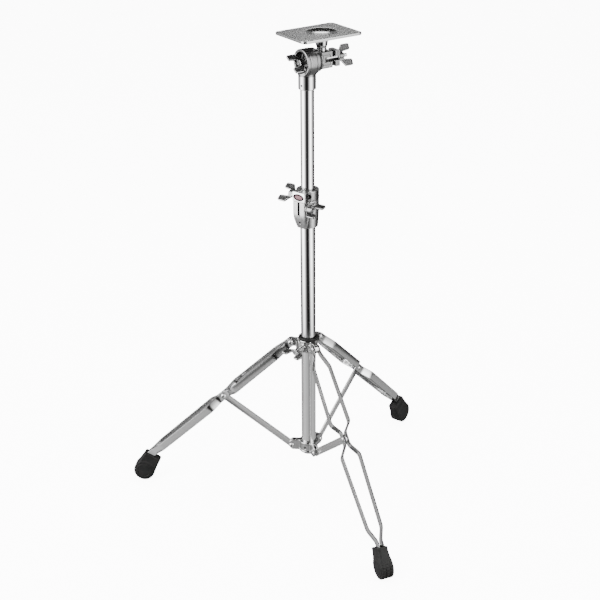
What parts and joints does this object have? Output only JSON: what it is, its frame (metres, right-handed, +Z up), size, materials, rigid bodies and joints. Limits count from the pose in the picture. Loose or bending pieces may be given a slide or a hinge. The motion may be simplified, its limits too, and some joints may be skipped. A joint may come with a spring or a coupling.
{
  "type": "tilting instrument stand",
  "caption": "Folding braced tripod stand with a telescoping tube, height clamp and lock, and a brake tilter that carries a dished rectangular mounting plate with corner holes.",
  "frame": {"origin": "middle of the footprint's bounding box at floor level, 85.3 mm in front of the tube's axis", "axes": "+Z up along the tube; +X to the viewer's right and -Y towards the front leg, which lies in the -Y direction"},
  "size_m": [0.6364, 0.552, 0.934],
  "materials": {
    "chrome_casting": "bright plated casting with a fine pebble",
    "black_rubber": "matte moulded",
    "black_nylon": "smooth moulded",
    "dark_steel": "black oxide",
    "satin_steel": "brushed and plated",
    "chrome": "mirror polished"
  },
  "bodies": {
    "base": {"lower_tube": "chrome", "tube_end_plug": "black_nylon", "leg_bracket": "chrome_casting", "bracket_screw": "dark_steel", "bracket_pin_front": "chrome", "bracket_pin_right": "chrome", "bracket_pin_left": "chrome", "height_clamp": "chrome_casting", "clamp_bushing": "black_nylon", "clamp_set_screw": "dark_steel", "clamp_nut": "chrome"},
    "brace_front": {"brace_front": "chrome"},
    "brace_right": {"brace_right": "chrome"},
    "brace_left": {"brace_left": "chrome"},
    "collar": {"leg_collar": "chrome_casting", "collar_ring": "black_rubber", "leg_rivet_front": "chrome", "leg_rivet_right": "chrome", "leg_rivet_left": "chrome"},
    "collar_screw": {"collar_wing_screw": "chrome"},
    "lock": {"memory_lock": "chrome_casting", "lock_badge": "chrome", "lock_bolt": "dark_steel"},
    "lock_nut": {"lock_wing_nut": "chrome"},
    "clamp_bolt": {"clamp_wing_bolt": "chrome"},
    "tube_slider": {"upper_tube_plug": "black_nylon"},
    "mast": {"upper_tube": "chrome", "tilter_body": "chrome_casting", "sleeve_screw": "dark_steel"},
    "brake_bolt": {"brake_wing_bolt": "chrome"},
    "tilt": {"tilt_jaw": "chrome_casting", "brake_disc": "black_nylon", "eye_bolt": "chrome"},
    "shoe": {"clamp_shoe": "chrome_casting"},
    "jaw_nut": {"jaw_wing_nut": "chrome"},
    "plate": {"plate_stem": "chrome", "mounting_plate": "satin_steel"},
    "leg_front": {"leg_strip_front_a": "chrome", "leg_strip_front_b": "chrome", "joint_rivet_front": "chrome", "foot_front": "black_rubber"},
    "leg_right": {"leg_strip_right_a": "chrome", "leg_strip_right_b": "chrome", "joint_rivet_right": "chrome", "foot_right": "black_rubber"},
    "leg_left": {"leg_strip_left_a": "chrome", "leg_strip_left_b": "chrome", "joint_rivet_left": "chrome", "foot_left": "black_rubber"}
  },
  "joints": [
    {"name": "fold", "type": "hinge", "parent": "base", "child": "brace_front", "pos_m": [0, 0.0514, 0.0974], "axis": [-1, 0, 0], "range_deg": [-4, 47]},
    {"name": "leg_front_joint", "type": "hinge", "parent": "brace_front", "child": "leg_front", "pos_m": [0, -0.08489, 0.20133], "axis": [1, 0, 0], "range_deg": [-7.59, 88.6]},
    {"name": "collar_joint", "type": "hinge", "parent": "leg_front", "child": "collar", "pos_m": [0, 0.0514, 0.3279], "axis": [1, 0, 0], "range_deg": [-41.6, 3.59]},
    {"name": "leg_right_joint", "type": "hinge", "parent": "collar", "child": "leg_right", "pos_m": [0.02936, 0.10225, 0.3279], "axis": [-0.5, 0.866, 0], "range_deg": [-3.59, 41.6]},
    {"name": "leg_left_joint", "type": "hinge", "parent": "collar", "child": "leg_left", "pos_m": [-0.02936, 0.10225, 0.3279], "axis": [-0.5, -0.866, 0], "range_deg": [-3.59, 41.6]},
    {"name": "brace_right_joint", "type": "hinge", "parent": "base", "child": "brace_right", "pos_m": [0.02936, 0.10225, 0.0974], "axis": [0.5, -0.866, 0], "range_deg": [-4.05, 47.05]},
    {"name": "brace_left_joint", "type": "hinge", "parent": "base", "child": "brace_left", "pos_m": [-0.02936, 0.10225, 0.0974], "axis": [0.5, 0.866, 0], "range_deg": [-4.05, 47.05]},
    {"name": "collar_screw_turn", "type": "hinge", "parent": "collar", "child": "collar_screw", "pos_m": [-0.02624, 0.07015, 0.322], "axis": [-0.866, -0.5, 0], "continuous": true},
    {"name": "clamp_bolt_turn", "type": "hinge", "parent": "base", "child": "clamp_bolt", "pos_m": [-0.01905, 0.0743, 0.6135], "axis": [0.5, -0.866, 0], "continuous": true},
    {"name": "memory_lock_lift", "type": "slide", "parent": "base", "child": "lock", "axis": [0, 0, 1], "range_m": [0, 0.1]},
    {"name": "lock_nut_turn", "type": "hinge", "parent": "lock", "child": "lock_nut", "pos_m": [-0.01498, 0.07665, 0.635], "axis": [-0.5, 0.866, 0], "continuous": true},
    {"name": "height_slide", "type": "slide", "parent": "lock", "child": "tube_slider", "axis": [0, 0, 1], "range_m": [-0.14, 0.13]},
    {"name": "mast_swivel", "type": "hinge", "parent": "tube_slider", "child": "mast", "pos_m": [0, 0.0853, 0.6], "axis": [0, 0, 1], "continuous": true},
    {"name": "brake_bolt_turn", "type": "hinge", "parent": "mast", "child": "brake_bolt", "pos_m": [0, 0.0853, 0.8835], "axis": [-0.9825, -0.1865, 0], "continuous": true},
    {"name": "tilt", "type": "hinge", "parent": "mast", "child": "tilt", "pos_m": [0, 0.0853, 0.8835], "axis": [0.9825, 0.1865, 0], "range_deg": [-90, 90]},
    {"name": "shoe_slide", "type": "slide", "parent": "tilt", "child": "shoe", "axis": [0.9825, 0.1865, 0], "range_m": [0, 0.0025]},
    {"name": "jaw_nut_turn", "type": "hinge", "parent": "shoe", "child": "jaw_nut", "pos_m": [0.06366, 0.09739, 0.8835], "axis": [0.9825, 0.1865, 0], "range_deg": [-0.05, 720.05]},
    {"name": "plate_turn", "type": "hinge", "parent": "tilt", "child": "plate", "pos_m": [0.03104, 0.09119, 0.93], "axis": [0, 0, 1], "continuous": true}
  ],
  "couplings": [
    {"joint": "leg_front_joint", "follows": "fold", "ratio": 1.884},
    {"joint": "collar_joint", "follows": "fold", "ratio": -0.884},
    {"joint": "leg_right_joint", "follows": "fold", "ratio": 0.884},
    {"joint": "leg_left_joint", "follows": "fold", "ratio": 0.884},
    {"joint": "brace_right_joint", "follows": "fold", "ratio": 1},
    {"joint": "brace_left_joint", "follows": "fold", "ratio": 1},
    {"joint": "jaw_nut_turn", "follows": "shoe_slide", "rad_per_m": 5026.5}
  ]
}
